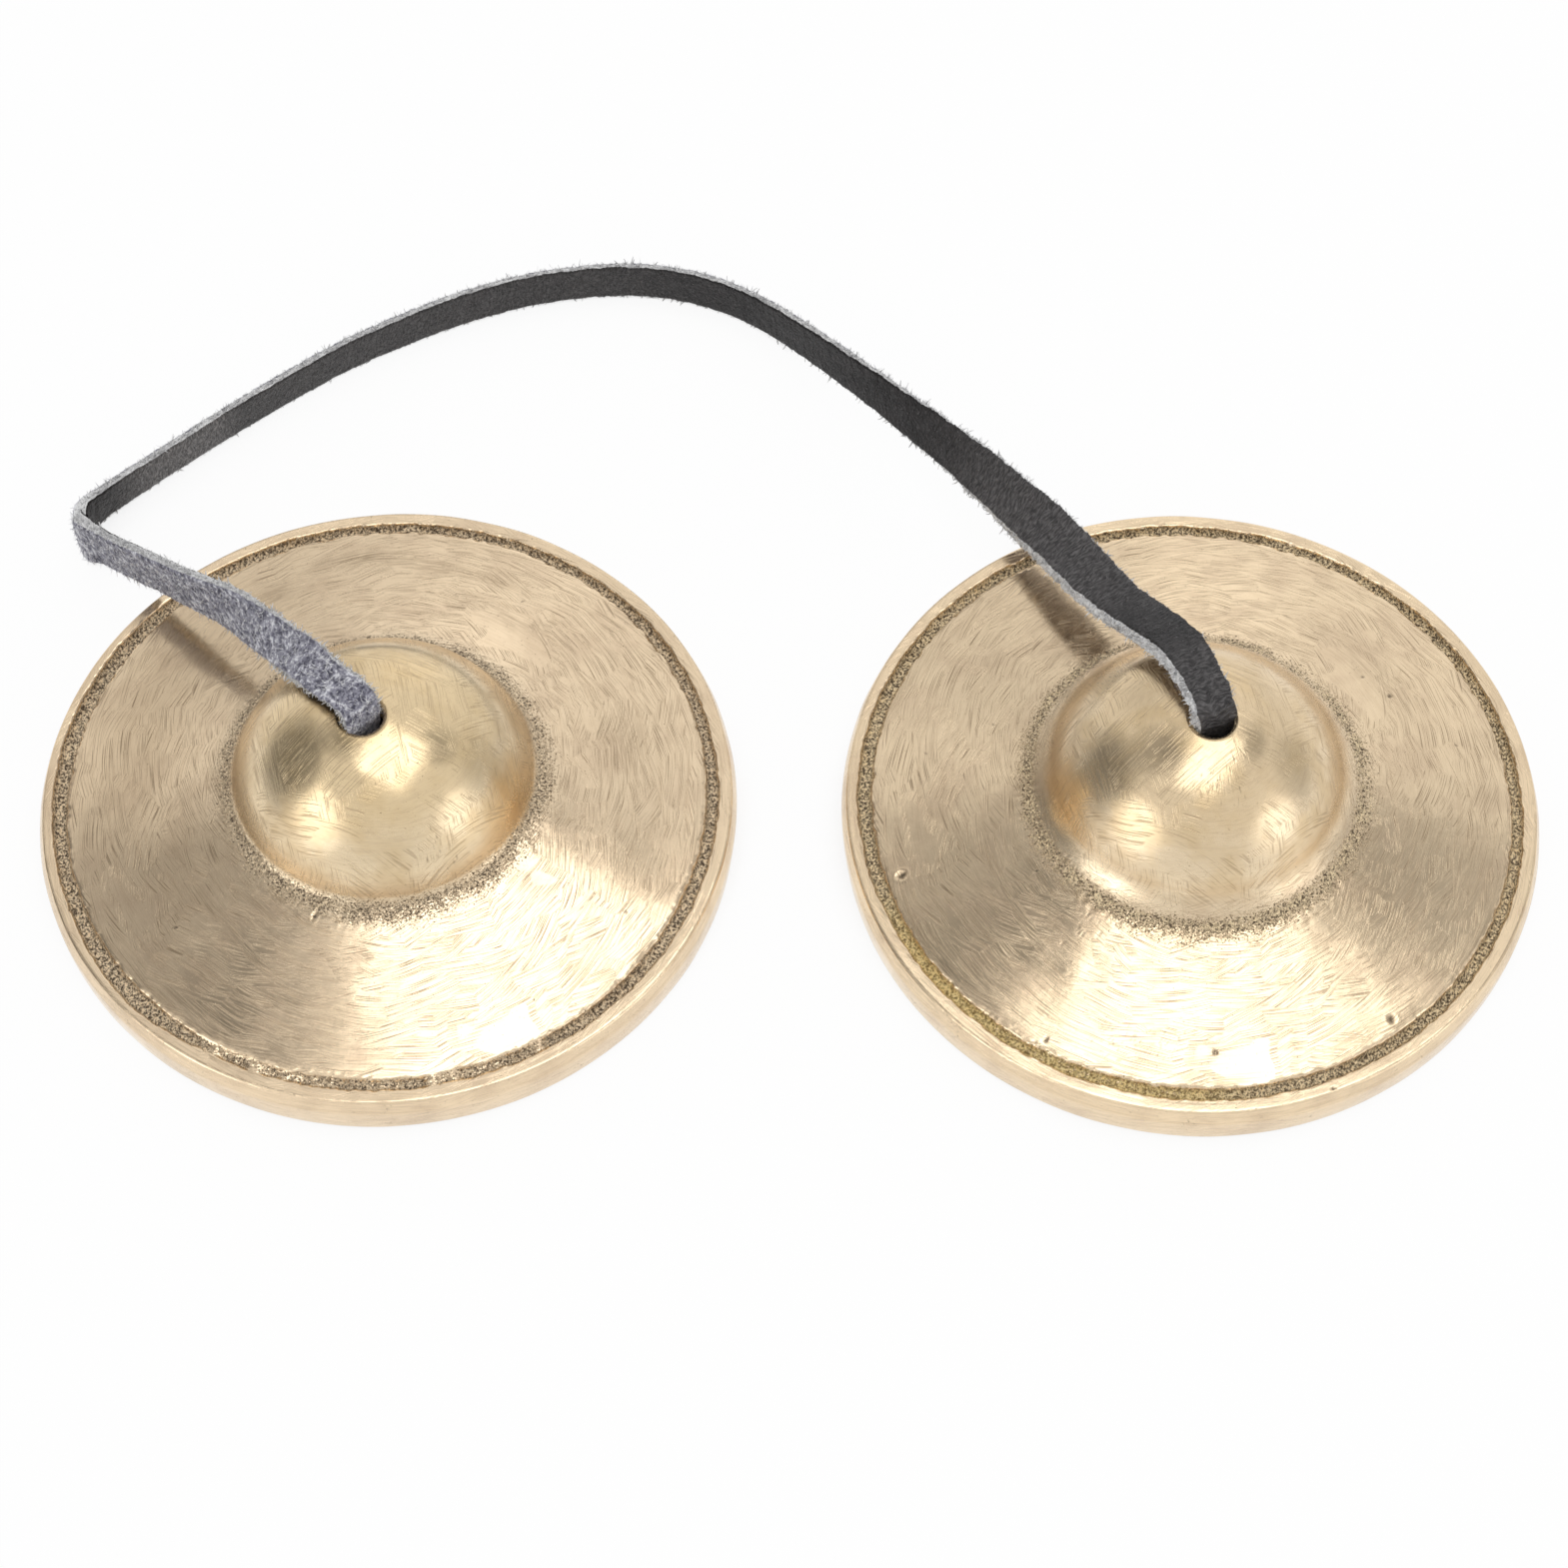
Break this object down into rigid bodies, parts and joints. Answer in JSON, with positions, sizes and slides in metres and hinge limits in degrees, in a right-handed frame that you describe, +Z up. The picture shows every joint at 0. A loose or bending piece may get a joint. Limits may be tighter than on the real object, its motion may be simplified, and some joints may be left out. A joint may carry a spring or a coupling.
{
  "type": "tingsha",
  "caption": "Pair of small cast brass hand cymbals with raised domes and grooved rims, joined by a flat leather strap knotted inside each dome.",
  "frame": {"origin": "on the surface that the rims stand on, midway between the two cymbals", "axes": "+Z up through the domes, +X from the left cymbal to the right one, +Y towards the strap's loop behind them"},
  "size_m": [0.1398, 0.0956, 0.0224],
  "materials": {
    "brass_left": "cast and hand filed, satin, with darker as-cast hollows",
    "brass_right": "cast and hand filed, satin, slightly yellower, with darker as-cast hollows",
    "strap_leather": "black fine grain on one face, blue-grey suede on the other, pale cut edges",
    "knot_leather": "the same strap leather, creased in the knot"
  },
  "bodies": {
    "strap": {"strap": "strap_leather"},
    "knot_left": {"knot_left": "knot_leather"},
    "knot_right": {"knot_right": "knot_leather"},
    "cymbal_left": {"cymbal_left": "brass_left"},
    "cymbal_right": {"cymbal_right": "brass_right"}
  },
  "joints": [
    {"name": "swing_left", "type": "hinge", "parent": "strap", "child": "knot_left", "pos_m": [-0.03842, -0.00004, 0.02175], "axis": [-0.7303, -0.683, 0.0148], "range_deg": [0, 90]},
    {"name": "swing_right", "type": "hinge", "parent": "strap", "child": "knot_right", "pos_m": [0.03805, -0.0003, 0.02177], "axis": [-0.9142, -0.4053, -0.0029], "range_deg": [0, 90]},
    {"name": "swivel_left", "type": "hinge", "parent": "knot_left", "child": "cymbal_left", "pos_m": [-0.0384, -0.0001, 0.0185], "axis": [0, 0, 1], "continuous": true},
    {"name": "swivel_right", "type": "hinge", "parent": "knot_right", "child": "cymbal_right", "pos_m": [0.0381, -0.0004, 0.0185], "axis": [0, 0, 1], "continuous": true}
  ]
}
